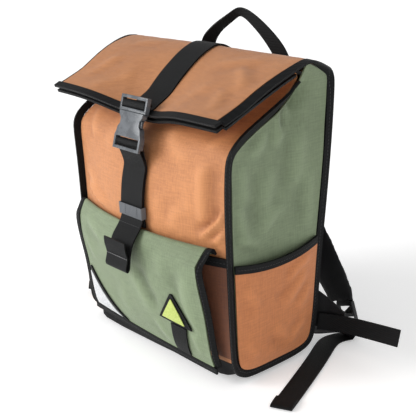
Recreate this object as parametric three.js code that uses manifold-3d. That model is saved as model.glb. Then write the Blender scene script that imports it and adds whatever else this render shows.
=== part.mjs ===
// Commuter backpack with a top that folds over the front, held by one centre strap.
// Millimetres. +Z is up, +Y goes towards the wearer, +X is the right side seen from the front.
// The origin is the middle of the flat base, on the floor.
import * as THREE from 'three';
import { mergeVertices } from 'three/addons/utils/BufferGeometryUtils.js';
import Module from 'manifold-3d';

const wasm = await Module();
wasm.setup();

// Driving sizes of the bag
const bagWidth = 274;
const bagDepth = 150;
const bagHeight = 333;
const seamLift = 15;
const clothThickness = 1.8;
const backThickness = 6;
const baseThickness = 2.4;
const bindingWidth = 9;
const bindingThickness = 3.2;
const gap = 0.4;

// The centre strap pulls the folded top in and down where it crosses the mouth
const pullIn = 14;
const pullDown = 11;
const pullReach = 36;

// Hollow of the side panels and the tuck beside the folded top
const sideHollow = 4;
const tuckDepth = 13;
const tuckReach = 11;

// The left half of the folded top stands a little higher
const leftRise = 7;

// The left front edge is fuller under the folded top
const leftFullness = 6;

// The base bulges forward under the front edge
const baseBulge = 12;
const baseLean = 0.85;

// Driving sizes of the front pocket
const pocketTop = 146;
const pocketFoot = 33;
const pocketRoom = 9;
const pocketBandHeight = 10;
const flapLeftEdge = -127.5;
const flapRightEdge = 115;
const flapFold = 166;
const flapFoot = 22;
const trimWidth = 7;
const trimThickness = 2.4;
const patchThickness = 1;

// Driving sizes of the side pockets
const sidePocketHeight = 139;
const sidePocketSag = 8;
const sidePocketRoom = 4.2;

// Driving sizes of the webbing and its hardware
const wideWebbing = 40;
const narrowWebbing = 25;
const waistWidth = 22;
const wedgeHeight = 38;
const webbingThickness = 1.6;
const buckleWidth = 48;
const buckleLength = 62;
const buckleThickness = 8;
const buckleLean = 17;
const strapSlant = 7;
const barThickness = 2.6;
const keeperHeight = 14;
const keeperMiddle = 188;
const keeperWall = 0.9;
const tailReach = 30;
const tailDrop = 57;
const handleSpan = 140;
const handleRise = 55;
const padWidth = 62;
const padThickness = 9;
const lockWidth = 31;
const lockLength = 34;
const lockThickness = 5;

const materials = {
  tan: new THREE.MeshStandardMaterial({ color: 0xc07f52, roughness: 0.9, metalness: 0 }),
  olive: new THREE.MeshStandardMaterial({ color: 0x74815f, roughness: 0.9, metalness: 0 }),
  black: new THREE.MeshStandardMaterial({ color: 0x1c1c1e, roughness: 0.8, metalness: 0 }),
  plastic: new THREE.MeshStandardMaterial({ color: 0x3a3b3f, roughness: 0.35, metalness: 0 }),
  grey: new THREE.MeshStandardMaterial({ color: 0x5c6066, roughness: 0.6, metalness: 0 }),
  white: new THREE.MeshStandardMaterial({ color: 0xe8ecf2, roughness: 0.4, metalness: 0 }),
  yellow: new THREE.MeshStandardMaterial({ color: 0xdff04a, roughness: 0.6, metalness: 0 }),
};

const bag = new THREE.Group();
bag.name = 'backpack';

function add(name, geometry, material) {
  const mesh = new THREE.Mesh(geometry, material);
  mesh.name = name;
  bag.add(mesh);
  return mesh;
}

function point(x, y, z) {
  return new THREE.Vector3(x, y, z);
}

function mix(a, b, share) {
  return a + (b - a) * share;
}

function clamp(value, low, high) {
  return Math.min(high, Math.max(low, value));
}

function smooth(share) {
  const s = clamp(share, 0, 1);
  return s * s * (3 - 2 * s);
}

function steps(count) {
  return Array.from({ length: count + 1 }, (unused, i) => i / count);
}

// Value of one column of a table, straight between its rows. The first column is the key.
function lookUp(table, key, column) {
  const rising = table[table.length - 1][0] > table[0][0];
  const rows = rising ? table : [...table].reverse();
  if (key <= rows[0][0]) return rows[0][column];
  for (let i = 1; i < rows.length; i += 1) {
    if (key <= rows[i][0]) {
      const share = (key - rows[i - 1][0]) / (rows[i][0] - rows[i - 1][0]);
      return mix(rows[i - 1][column], rows[i][column], share);
    }
  }
  return rows[rows.length - 1][column];
}

// A closed wall over the surface at(u, v). It is centred on the surface, and thickness, a number or a
// function of u and v, is its thickness there.
function wall(us, vs, at, thickness) {
  const positions = [];
  const probe = 1e-4;
  const uEnds = [us[0], us[us.length - 1]];
  const vEnds = [vs[0], vs[vs.length - 1]];
  for (const v of vs) {
    for (const u of us) {
      const along = at(clamp(u + probe, ...uEnds), v).sub(at(clamp(u - probe, ...uEnds), v));
      const up = at(u, clamp(v + probe, ...vEnds)).sub(at(u, clamp(v - probe, ...vEnds)));
      const across = typeof thickness === 'function' ? thickness(u, v) : thickness;
      const normal = along.cross(up).normalize().multiplyScalar(across / 2);
      const middle = at(u, v);
      positions.push(middle.clone().add(normal), middle.clone().sub(normal));
    }
  }
  const columns = us.length;
  const rows = vs.length;
  const front = (i, j) => 2 * (j * columns + i);
  const back = (i, j) => front(i, j) + 1;
  const triangles = [];
  const quad = (a, b, c, d) => triangles.push(a, b, c, a, c, d);
  for (let j = 0; j < rows - 1; j += 1) {
    for (let i = 0; i < columns - 1; i += 1) {
      quad(front(i, j), front(i + 1, j), front(i + 1, j + 1), front(i, j + 1));
      quad(back(i, j), back(i, j + 1), back(i + 1, j + 1), back(i + 1, j));
    }
  }
  for (let i = 0; i < columns - 1; i += 1) {
    quad(front(i, 0), back(i, 0), back(i + 1, 0), front(i + 1, 0));
    quad(front(i, rows - 1), front(i + 1, rows - 1), back(i + 1, rows - 1), back(i, rows - 1));
  }
  for (let j = 0; j < rows - 1; j += 1) {
    quad(front(0, j), front(0, j + 1), back(0, j + 1), back(0, j));
    quad(front(columns - 1, j), back(columns - 1, j), back(columns - 1, j + 1), front(columns - 1, j + 1));
  }
  const geometry = new THREE.BufferGeometry();
  const numbers = positions.flatMap((p) => p.toArray());
  geometry.setAttribute('position', new THREE.Float32BufferAttribute(numbers, 3));
  geometry.setIndex(triangles);
  return geometry;
}

// Places along a path, closer together where it turns.
function stations(path, from, to, turn, reach) {
  const places = [from];
  const stride = (to - from) / Math.max(400, Math.ceil(Math.abs(to - from)));
  let turned = 0;
  let travelled = 0;
  let before = path(from + stride).sub(path(from));
  for (let place = from + stride; (to - place) * stride > stride * stride * 0.5; place += stride) {
    const step = path(place + stride).sub(path(place));
    turned += step.angleTo(before);
    travelled += step.length();
    before = step;
    if (turned > turn || travelled > reach) {
      places.push(place);
      turned = 0;
      travelled = 0;
    }
  }
  places.push(to);
  return places;
}

// A flat band along a path. across(t) is its width direction, and from and to are its edges along that.
function band(path, ts, across, from, to, thickness) {
  const at = (t, v) => path(t).addScaledVector(across(t), mix(from, to, v));
  return wall(ts, [0, 1], at, thickness);
}

// The rim is the whole right edge of the bag, from the lower mouth corner back to the fold, down the
// front seam, under the base, up the back and forward again over the crest to the upper mouth corner.
// Columns: place, across (share of half the width), back (share of the depth), up (share of the height
// over the seams), swell (how far the cloth bulges outwards half way across, share of the depth).
const rimTable = [
  ['lower mouth', 1.029, -0.087, 0.917, 0],
  ['inner middle', 1.029, 0.167, 0.965, 0],
  ['inner rear', 1.029, 0.5, 1.025, 0],
  ['fold upper', 1.022, 0.667, 1.041, 0],
  ['fold tip', 1.015, 0.72, 1.019, 0],
  ['fold lower', 1.007, 0.687, 0.991, 0.01],
  ['lean upper', 1.004, 0.52, 0.925, 0.04],
  ['lean middle', 1, 0.313, 0.877, 0.06],
  ['lean lower', 1, 0.16, 0.84, 0.067],
  ['bend', 1, 0.06, 0.792, 0.08],
  ['front upper', 1, 0.033, 0.711, 0.12],
  ['front middle', 1, 0.027, 0.55, 0.16],
  ['front lower', 1, 0.033, 0.252, 0.1],
  ['front foot', 1, 0.04, 0.082, 0.05],
  ['front corner', 0.996, 0.06, 0.031, 0.03],
  ['base front', 0.993, 0.133, 0.002, 0],
  ['base middle', 0.993, 0.467, -0.005, 0],
  ['base rear', 0.993, 0.72, 0, 0],
  ['back corner', 0.993, 0.807, 0.019, 0.01],
  ['back foot', 0.993, 0.847, 0.088, 0.02],
  ['back lower', 1, 0.9, 0.346, 0.033],
  ['back middle', 1.011, 0.96, 0.597, 0.033],
  ['back upper', 1.022, 1.007, 0.871, 0.02],
  ['back top', 1.029, 1, 1, 0],
  ['flap rear', 1.066, 0.9, 1.038, 0.007],
  ['crest', 1.106, 0.713, 1.082, 0.01],
  ['flap upper', 1.109, 0.553, 1.069, 0.007],
  ['flap middle', 1.08, 0.38, 1.038, 0],
  ['flap lower', 1.058, 0.22, 1.003, 0],
  ['kink', 1.051, 0.12, 0.975, 0],
  ['flap lip', 1.051, -0.02, 0.953, 0],
  ['upper mouth', 1.044, -0.107, 0.937, 0],
];
const rimCurve = new THREE.CatmullRomCurve3(rimTable.map(([, across, back, up]) => point(
  across * bagWidth / 2,
  (back - 0.5) * bagDepth,
  seamLift + up * (bagHeight - seamLift),
)));
const divisionsPerRow = 24;
rimCurve.arcLengthDivisions = divisionsPerRow * (rimTable.length - 1);
const rimLengths = rimCurve.getLengths();
const rimLength = rimLengths[rimLengths.length - 1];

// Length along the rim at which a named row lies.
function rimAt(place) {
  const row = rimTable.findIndex(([name]) => name === place);
  return rimLengths[row * divisionsPerRow];
}

const swellTable = rimTable.map(([place, , , , swell]) => [rimAt(place), swell * bagDepth]);
const panelInset = bindingThickness / 2 + gap + baseThickness / 4;

// Point of the rim, side 1 on the right and -1 on the left.
function rim(side, length) {
  const place = rimCurve.getPointAt(clamp(length / rimLength, 0, 1));
  const forward = (length - rimAt('crest')) / (rimAt('upper mouth') - rimAt('crest'));
  const backward = 1 - (length - rimAt('lower mouth')) / (rimAt('inner rear') - rimAt('lower mouth'));
  const share = Math.max(forward, backward);
  if (side < 0) {
    place.z += leftRise * smooth(share / 0.5) * (1 - 0.45 * smooth(share));
    place.y -= leftFullness * Math.exp(-(((length - rimAt('bend') + 8) / 34) ** 2));
  }
  place.x *= side;
  return place;
}

// Direction out of the bag, square to the rim and to the width.
function outwards(length) {
  const tangent = rimCurve.getTangentAt(clamp(length / rimLength, 0, 1));
  return point(0, tangent.z, -tangent.y).normalize();
}

function strapPull(x, share) {
  const beside = Math.max(0, Math.abs(x) - wideWebbing / 2 - 1);
  const near = Math.exp(-((beside / pullReach) ** 2)) * smooth(share);
  return point(0, pullIn * near * share, -pullDown * near);
}

// Surface between the two rims. u runs from the left seam to the right one.
function panelPoint(u, length) {
  const right = rim(1, length);
  const inset = panelInset / (2 * right.x);
  const share = mix(inset, 1 - inset, u);
  const swell = lookUp(swellTable, length, 1) * (1 - (2 * share - 1) ** 2);
  const x = mix(-right.x, right.x, share);
  const left = rim(-1, length).sub(point(-right.x, right.y, right.z)).multiplyScalar(1 - smooth(share * 2));
  const place = point(x, right.y, right.z).add(left).addScaledVector(outwards(length), swell);
  const inner = 1 - (length - rimAt('lower mouth')) / (rimAt('inner rear') - rimAt('lower mouth'));
  const outer = (length - rimAt('crest')) / (rimAt('upper mouth') - rimAt('crest'));
  return place.add(strapPull(x, Math.max(inner, outer)));
}

function rimStations(from, to, turn, reach) {
  return stations((length) => rim(1, length), from, to, turn, reach);
}

// Length along the rim at which it has a given height.
function heightOnRim(height, from, to) {
  let low = from;
  let high = to;
  const rising = rim(1, to).z > rim(1, from).z;
  for (let i = 0; i < 40; i += 1) {
    const middle = (low + high) / 2;
    if ((rim(1, middle).z < height) === rising) low = middle;
    else high = middle;
  }
  return (low + high) / 2;
}

// Point of the front panel at a width and a height, on its upright part.
function frontPoint(x, height) {
  const length = heightOnRim(height, rimAt('bend'), rimAt('front corner'));
  const right = rim(1, length);
  const swell = lookUp(swellTable, length, 1) * (1 - (x / right.x) ** 2);
  const left = (rim(-1, length).y - right.y) * (1 - smooth(x / right.x + 1));
  return point(x, right.y + left + outwards(length).y * swell, height);
}

// A point given as shares: across of the half width, back of the depth, up of the height.
function spot(across, back, up) {
  return point(across * bagWidth / 2, (back - 0.5) * bagDepth, up * bagHeight);
}

// The front panel runs up from the base, leans back, folds and comes forward as the lower layer
// of the folded top.
function frontPanel() {
  const lengths = rimStations(rimAt('lower mouth') + panelInset, rimAt('front corner') - gap, 0.3, 24);
  return wall(steps(14), lengths, (u, length) => panelPoint(1 - u, length), clothThickness);
}

// The upper layer of the folded top, from the back seam over the crest to the mouth.
function topFlap() {
  const lengths = rimStations(rimAt('back top') + panelInset, rimAt('upper mouth') - panelInset, 0.22, 24);
  return wall(steps(14), lengths, (u, length) => panelPoint(1 - u, length), clothThickness);
}

function backPanel() {
  const lengths = rimStations(rimAt('back corner') + 1, rimAt('back top') - 1, 0.3, 45);
  return wall(steps(8), lengths, (u, length) => panelPoint(1 - u, length), backThickness);
}

// The base hangs below the seams and is flat where it stands. Columns: place across or along, drop.
const baseAcross = [
  [0, 0], [0.02, 0.45], [0.05, 0.8], [0.1, 1], [0.9, 1], [0.95, 0.8], [0.98, 0.45], [1, 0],
];
const baseAlong = [
  [0, 0], [0.05, 0.4], [0.1, 0.82], [0.16, 1], [0.76, 1], [0.84, 0.8], [0.92, 0.45], [1, 0],
];
function basePoint(u, run) {
  const length = mix(rimAt('front corner') + gap, rimAt('back corner') - gap, run);
  const place = panelPoint(mix(0.997, 0.003, u), length);
  const sink = lookUp(baseAcross, u, 1) * lookUp(baseAlong, run, 1);
  place.z = mix(place.z, baseThickness / 2, sink);
  const bulge = smooth((run - 0.02) / 0.1) * (1 - smooth((run - 0.12) / 0.22));
  const left = 1 + baseLean * smooth((-place.x - 50) / 55);
  place.y -= baseBulge * left * bulge * lookUp(baseAcross, u, 1);
  return place;
}
function basePanel() {
  const across = baseAcross.map(([place]) => place);
  const along = baseAlong.map(([place]) => place);
  return wall(across, along, basePoint, baseThickness);
}

// A four-sided patch on one side of the bag, spread between its four edges.
function patchPoint(edges, u, v) {
  const { bottom, top, front, back } = edges;
  const rows = bottom(u).multiplyScalar(1 - v).addScaledVector(top(u), v);
  const columns = front(v).multiplyScalar(1 - u).addScaledVector(back(v), u);
  const corners = bottom(0).multiplyScalar((1 - u) * (1 - v))
    .addScaledVector(bottom(1), u * (1 - v))
    .addScaledVector(top(0), (1 - u) * v)
    .addScaledVector(top(1), u * v);
  return rows.add(columns).sub(corners);
}

// The side panel reaches from the front seam to the back seam, and up to the edge of the folded top.
// Its tuck runs down from the fold and pinches the cloth inwards.
const tuckTop = spot(0, 0.7, 0.985);
const tuckFoot = spot(0, 0.62, 0.84);
const tipShare = 0.95;
const gussetShrink = 0.019;
function gussetPoint(side, u, v) {
  const foot = rimAt('base front');
  const heel = rimAt('base rear');
  const tip = rimAt('fold tip');
  const edges = {
    bottom: (t) => rim(side, mix(foot, heel, t)),
    top: (t) => rim(side, mix(rimAt('crest'), rimAt('back top'), t)),
    front: (t) => (t < tipShare
      ? rim(side, mix(foot, tip, t / tipShare))
      : rim(side, tip).lerp(rim(side, rimAt('crest')), (t - tipShare) / (1 - tipShare))),
    back: (t) => rim(side, mix(heel, rimAt('back top'), t)),
  };
  const sideInset = (1.5 + 4 * smooth((v - 0.72) / 0.15)) / bagDepth;
  const footInset = 3.5 / bagHeight;
  const topInset = (bindingThickness / 2 + gap) / bagHeight;
  const place = patchPoint(edges, mix(sideInset, 1 - sideInset, u), mix(footInset, 1 - topInset, v));
  const spread = Math.sin(Math.PI * u) * Math.sin(Math.PI * v);
  const line = tuckFoot.clone().sub(tuckTop);
  const offset = point(0, place.y, place.z).sub(tuckTop);
  const along = clamp(offset.dot(line) / line.lengthSq(), 0, 1);
  const away = offset.addScaledVector(line, -along).length();
  const tuck = tuckDepth * (1 - along) * Math.exp(-((away / tuckReach) ** 2));
  const edge = smooth(u / 0.2) * smooth((1 - v) / 0.05);
  place.x -= side * (sideHollow * spread + tuck * edge);
  place.y *= 1 - gussetShrink;
  place.z = mix(place.z, bagHeight / 2, gussetShrink);
  return place;
}
const gussetColumns = [0, 0.07, 0.14, 0.21, 0.28, 0.35, 0.42, 0.5, 0.6, 0.72, 0.84, 1];
const gussetRows = [
  0, 0.05, 0.12, 0.24, 0.38, 0.52, 0.64, 0.72, 0.77, 0.81, 0.84, 0.87, 0.9, 0.93, 0.96, 0.985, 1,
];
function gusset(side) {
  const at = (u, v) => gussetPoint(side, side > 0 ? u : 1 - u, v);
  const columns = side > 0 ? gussetColumns : gussetColumns.map((u) => 1 - u).reverse();
  return wall(columns, gussetRows, at, clothThickness);
}

// The side pocket lies over the foot of the side panel, open at the top.
function sidePocketPoint(side, u, v) {
  const foot = rimAt('base front') - 6;
  const heel = rimAt('base rear') + 6;
  const frontTop = heightOnRim(sidePocketHeight, rimAt('bend'), foot);
  const backTop = heightOnRim(sidePocketHeight, heel, rimAt('back upper'));
  const edges = {
    bottom: (t) => rim(side, mix(foot, heel, t)),
    top: (t) => {
      const place = rim(side, frontTop).lerp(rim(side, backTop), t);
      place.z -= sidePocketSag * Math.sin(Math.PI * t);
      return place;
    },
    front: (t) => rim(side, mix(foot, frontTop, t)),
    back: (t) => rim(side, mix(heel, backTop, t)),
  };
  const place = patchPoint(edges, mix(0.008, 0.992, u), mix(0.015, 1, v));
  const spread = (1 - (2 * u - 1) ** 4) * smooth(v / 0.2);
  place.x += side * (gap + (clothThickness + bindingThickness) / 2 + sidePocketRoom * spread);
  return place;
}
function sidePocket(side) {
  const at = (u, v) => sidePocketPoint(side, side > 0 ? u : 1 - u, v);
  return wall(steps(8), [0, 0.06, 0.14, 0.3, 0.5, 0.75, 1], at, clothThickness);
}
function sidePocketHem(side) {
  const path = (u) => sidePocketPoint(side, side > 0 ? u : 1 - u, 1).add(point(0, 0, gap));
  return band(path, steps(8), () => point(0, 0, 1), 0, bindingWidth, bindingThickness);
}

// The binding tape stands out from the seam. lean turns it from sideways towards the outside of the rim.
const leanTable = [
  [rimAt('lower mouth'), 0.3],
  [rimAt('fold upper'), 0.3],
  [rimAt('fold lower'), 0.5],
  [rimAt('lean upper'), 0.9],
  [rimAt('lean lower'), 0.97],
  [rimAt('back upper'), 0.97],
  [rimAt('back top'), 0.85],
  [rimAt('flap rear'), 0.25],
  [rimAt('crest'), -0.1],
  [rimAt('flap middle'), -0.4],
  [rimAt('upper mouth'), -0.6],
];
function tapeDirection(side, length) {
  const lean = lookUp(leanTable, length, 1);
  const direction = outwards(length).multiplyScalar(lean);
  direction.x = side * Math.sqrt(1 - lean * lean);
  return direction;
}
function tape(side, from, to) {
  const lengths = rimStations(from, to, 0.2, 36);
  const edges = side > 0 ? [bindingWidth, 0] : [0, bindingWidth];
  const at = (length) => rim(side, length);
  const across = (length) => tapeDirection(side, length);
  return band(at, lengths, across, ...edges, bindingThickness);
}

// The mouth of the folded top is bound along both of its layers, past the side bindings.
function mouthBinding(length, sign) {
  const past = 0.4 * bindingWidth / bagWidth;
  const us = steps(16).map((share) => mix(-past, 1 + past, share));
  const path = (u) => panelPoint(u, length);
  const across = (u) => panelPoint(u, length + sign).sub(panelPoint(u, length)).normalize();
  const edges = sign > 0 ? [2 * gap, 2 * gap + bindingWidth] : [2 * gap + bindingWidth, 2 * gap];
  return band(path, us, across, ...edges, bindingThickness);
}

// The pocket flap hangs from the front panel and stands off it. Columns: height (share of the drop from
// the fold to the foot), then how far it stands off at the left edge, the middle and the right edge.
const flapTable = [
  [0.045, 2.4, 2.4, 2.4],
  [-0.01, 5, 6, 9],
  [0.05, 12, 13, 21],
  [0.17, 18, 18, 30],
  [0.32, 16, 19, 26],
  [0.56, 10, 18, 20],
  [0.8, 8, 15, 18],
  [1, 7, 11, 16],
];
const flapColumns = [1, 2, 3].map((column) => new THREE.CatmullRomCurve3(
  flapTable.map((row) => point(row[column], 0, row[0])),
));
const foldRow = 2 / (flapTable.length - 1);
function flapPoint(u, t) {
  const [left, middle, right] = flapColumns.map((curve) => curve.getPoint(clamp(t, 0, 1)));
  const shares = [(2 * u - 1) * (u - 1), 4 * u * (1 - u), u * (2 * u - 1)];
  const stand = left.x * shares[0] + middle.x * shares[1] + right.x * shares[2];
  const place = frontPoint(mix(flapLeftEdge, flapRightEdge, u), mix(flapFold, flapFoot, middle.z));
  place.y -= stand;
  return place;
}
function pocketFlap() {
  const ts = stations((t) => flapPoint(0.5, t), 0, 1, 0.3, 22);
  return wall(ts, steps(12), (t, u) => flapPoint(u, t), clothThickness);
}

// Point on the hanging part of the pocket flap at a width and a height.
function onFlap(x, height) {
  let low = foldRow;
  let high = 1;
  const drop = (flapFold - height) / (flapFold - flapFoot);
  for (let i = 0; i < 30; i += 1) {
    const middle = (low + high) / 2;
    if (flapColumns[1].getPoint(middle).z < drop) low = middle;
    else high = middle;
  }
  return flapPoint((x - flapLeftEdge) / (flapRightEdge - flapLeftEdge), low);
}

// Place across the pocket flap as a share of its width, and up it as a share of its drop.
function flapPlace(across, up) {
  return [mix(flapLeftEdge, flapRightEdge, across), mix(flapFoot, flapFold, up)];
}

// A piece sewn flat on the pocket flap. Its corners run round it from the lower left.
function onFlapPatch(corners, lift, thickness, columns, rows) {
  const at = (u, v) => {
    const x = mix(mix(corners[0][0], corners[1][0], u), mix(corners[3][0], corners[2][0], u), v);
    const z = mix(mix(corners[0][1], corners[1][1], u), mix(corners[3][1], corners[2][1], u), v);
    const place = onFlap(x, z);
    place.y -= lift;
    return place;
  };
  return wall(steps(columns), steps(rows), at, thickness);
}

// Bindings of the pocket flap: down its two sides and along its foot.
function flapSideBinding(u, turn, from) {
  const side = u > 0.5 ? 1 : -1;
  const across = (t) => {
    const angle = THREE.MathUtils.degToRad(turn) * smooth((t - from) / 0.25);
    return point(side * Math.cos(angle), Math.sin(angle), 0);
  };
  const off = 2 * gap + (turn > 0 ? trimThickness / 4 : 0);
  const path = (t) => flapPoint(u, t).addScaledVector(across(t), off);
  const edges = side > 0 ? [trimWidth, 0] : [0, trimWidth];
  return band(path, stations(path, from, 1, 0.25, 24), across, ...edges, trimThickness);
}
function flapFootBinding() {
  const path = (u) => flapPoint(u, 1).add(point(0, 0, -2 * gap));
  const us = steps(12).map((share) => mix(-0.02, 1.02, share));
  return band(path, us, () => point(0, 0, -1), trimWidth, 0, trimThickness);
}

// The front pocket is sewn flat at its sides and stands off the front panel in the middle.
function pocketPoint(u, height) {
  const x = mix(-1, 1, u) * (bagWidth / 2 - panelInset);
  const place = frontPoint(x, height);
  const share = (height - pocketFoot) / (pocketTop - pocketFoot);
  const bow = (1 - (2 * u - 1) ** 2) * smooth(share / 0.5);
  const room = pocketRoom * bow * mix(1, 0.62, smooth(share * 2 - 1));
  place.y -= clothThickness + gap + 0.3 + room;
  return place;
}
function frontPocket() {
  const heights = [pocketFoot, 38, 58, 82, 106, 126, pocketTop];
  return wall(steps(12), heights, pocketPoint, clothThickness);
}
function frontPocketBand() {
  const path = (u) => pocketPoint(u, pocketTop);
  const lift = (bindingThickness - clothThickness) / 2;
  const raised = (u) => path(u).add(point(0, -lift, gap));
  return band(raised, steps(12), () => point(0, 0, 1), 0, pocketBandHeight, bindingThickness);
}

// Solids for joining and cutting.
function toSolid(geometry) {
  const merged = mergeVertices(new THREE.BufferGeometry().setAttribute(
    'position',
    (geometry.index ? geometry.toNonIndexed() : geometry).getAttribute('position').clone(),
  ), 1e-4);
  return new wasm.Manifold(new wasm.Mesh({
    numProp: 3,
    vertProperties: new Float32Array(merged.getAttribute('position').array),
    triVerts: new Uint32Array(merged.index.array),
  }));
}
function fromSolid(solid) {
  const mesh = solid.getMesh();
  const geometry = new THREE.BufferGeometry();
  geometry.setAttribute('position', new THREE.Float32BufferAttribute(mesh.vertProperties, 3));
  geometry.setIndex(Array.from(mesh.triVerts));
  return geometry;
}

// A plate cut from a flat outline, from one depth to another.
function plate(outline, holes, from, to) {
  const shape = new THREE.Shape(outline.map(([x, y]) => new THREE.Vector2(x, y)));
  for (const hole of holes) {
    shape.holes.push(new THREE.Path(hole.map(([x, y]) => new THREE.Vector2(x, y))));
  }
  const geometry = new THREE.ExtrudeGeometry(shape, { depth: to - from, bevelEnabled: false });
  return geometry.translate(0, 0, from);
}
function rectangle(left, low, right, high) {
  return [[left, low], [right, low], [right, high], [left, high]];
}

// The buckle lies in its own frame: x across, y up its length, z out of its front.
const buckleFoot = spot(0.01, -0.153, 0.777);
const buckleTurn = new THREE.Matrix4().makeBasis(
  point(1, 0, 0),
  point(0, Math.sin(THREE.MathUtils.degToRad(buckleLean)), Math.cos(THREE.MathUtils.degToRad(buckleLean))),
  point(0, -Math.cos(THREE.MathUtils.degToRad(buckleLean)), Math.sin(THREE.MathUtils.degToRad(buckleLean))),
);
const bucklePlace = buckleTurn.clone().setPosition(buckleFoot);
function onBuckle(up, out) {
  return point(0, up, out).applyMatrix4(bucklePlace);
}

const slotHalf = wideWebbing / 2 + 0.8;
const railHalf = buckleWidth / 2;
const lowerBar = 9.6;
const upperBar = buckleLength - 9.5;
const socketTop = 43.6;
const barMiddle = 3.6;
const frameHeight = 3.6;

function crossBar(up) {
  const bar = rectangle(-slotHalf - 1, up - barThickness / 2, slotHalf + 1, up + barThickness / 2);
  return toSolid(plate(bar, [], barMiddle - barThickness / 2, barMiddle + barThickness / 2));
}

// The lower half of the buckle: a frame for the webbing and a hollow body with side windows.
function buckleSocket() {
  const half = [
    [railHalf, 0], [railHalf, 15.5], [22, 20], [21, 25], [17.5, 29], [17.5, 35], [21, 39], [22, socketTop],
  ];
  const outline = [...half, ...half.map(([x, y]) => [-x, y]).reverse()];
  const slot = rectangle(-slotHalf, frameHeight, slotHalf, 14.6);
  const body = toSolid(plate(outline, [slot], 1, buckleThickness));
  const rails = toSolid(plate(rectangle(-railHalf - 1, -1, railHalf + 1, frameHeight), [], 0, 4.4));
  const pocket = toSolid(plate(rectangle(-15, 20, 15, socketTop + 1), [], 2.4, 6.2));
  const windows = toSolid(plate(rectangle(-railHalf, 27.5, railHalf, 36.5), [], 2.4, 6.2));
  return fromSolid(body.subtract(rails).add(crossBar(lowerBar)).subtract(pocket).subtract(windows));
}

// The upper half: a frame for the strap and a tongue whose prongs show in the windows.
function bucklePlug() {
  const frame = rectangle(-railHalf, socketTop + gap, railHalf, buckleLength);
  const slot = rectangle(-slotHalf, 47.6, slotHalf, buckleLength - frameHeight);
  const body = toSolid(plate(frame, [slot], 1.2, buckleThickness - 1));
  const tongue = toSolid(plate(rectangle(-14.6, 21, 14.6, socketTop + 1), [], 2.8, 5.8));
  const prongs = toSolid(plate(rectangle(-19.5, 28, 19.5, 36), [], 2.8, 5.8));
  return fromSolid(body.add(crossBar(upperBar)).add(tongue).add(prongs));
}

// The strap over the folded top runs from the back seam to the buckle and turns round its upper bar.
function flapTop(length, lift) {
  return panelPoint(0.5, length).addScaledVector(outwards(length), lift);
}
const strapLift = clothThickness / 2 + gap + webbingThickness / 2;
function topStrap() {
  const start = rimAt('back top') + 8;
  const end = rimAt('flap lip') - 1;
  const over = steps(16).map((share) => flapTop(mix(start, end, share), strapLift + 0.5)
    .add(point(-strapSlant * (1 - smooth(share)), 0, 0)));
  const turn = [[50.6, -6.4], [49.4, -3], [48.9, 0], [48.8, 2.6], [49, 4.6], [50.2, 6.4], [upperBar, 6.9],
    [54.8, 6.4], [56.4, 4.4], [56.5, 1.6], [56.3, -1], [54.8, -2.8], [53.2, -3.6]];
  const path = new THREE.CatmullRomCurve3([...over, ...turn.map(([up, out]) => onBuckle(up, out))]);
  return webbing(path, wideWebbing, 0.2, 12);
}

// Webbing along a curve with its width across the bag.
function webbing(path, width, turn, reach) {
  const at = (t) => path.getPointAt(clamp(t, 0, 1));
  const places = stations(at, 0, 1, turn, reach);
  return band(at, places, () => point(1, 0, 0), -width / 2, width / 2, webbingThickness);
}

// The lower strap is sewn above the pocket flap, turns round the lower bar of the buckle, comes down
// through the keeper and hangs forward, with its end folded back and sewn.
const innerLayer = clothThickness / 2 + gap + keeperWall + 2 * gap + webbingThickness / 2;
const layerPitch = webbingThickness + gap + 0.1;
// Columns: forward of the keeper (share of the reach), below it (share of the drop).
const tailTable = [[0.12, 0.16], [0.32, 0.28], [0.55, 0.42], [0.69, 0.61], [0.75, 0.82], [0.8, 0.965],
  [0.89, 1.01], [0.95, 0.95], [0.84, 0.737], [0.94, 0.53], [0.93, 0.38]];
function lowerStrap() {
  const stand = (height, lift) => frontPoint(0, height).add(point(0, -lift, 0));
  const keeperFoot = keeperMiddle - keeperHeight / 2;
  const sewn = flapFold + 4;
  const rise = [sewn, keeperFoot - 2, keeperMiddle, keeperMiddle + 8, keeperMiddle + 24];
  const fall = [keeperMiddle + 24, keeperMiddle + 8, keeperMiddle, keeperFoot];
  const turn = [
    [-16, -12.4], [-10, -9.7], [-5, -6.7], [0, -4], [5, -1.6], [lowerBar, 0.4], [12, 1.5], [12.9, barMiddle],
    [12, 5.7], [lowerBar, 6.8], [7.2, 5.9], [5.2, 4.1], [2.5, 2.2], [0, 0.2], [-5, -3.8], [-10, -7.4],
    [-16, -10.5],
  ];
  const low = stand(keeperFoot, innerLayer + layerPitch);
  const path = new THREE.CatmullRomCurve3([
    ...rise.map((height) => stand(height, innerLayer)),
    stand(keeperMiddle + 40, innerLayer - 1),
    ...turn.map(([up, out]) => onBuckle(up, out)),
    stand(keeperMiddle + 40, innerLayer + layerPitch - 1),
    ...fall.map((height) => stand(height, innerLayer + layerPitch)),
    ...tailTable.map(([forward, drop]) => {
      return low.clone().add(point(0, -forward * tailReach, -drop * tailDrop));
    }),
  ]);
  return webbing(path, wideWebbing, 0.25, 11);
}

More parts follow.
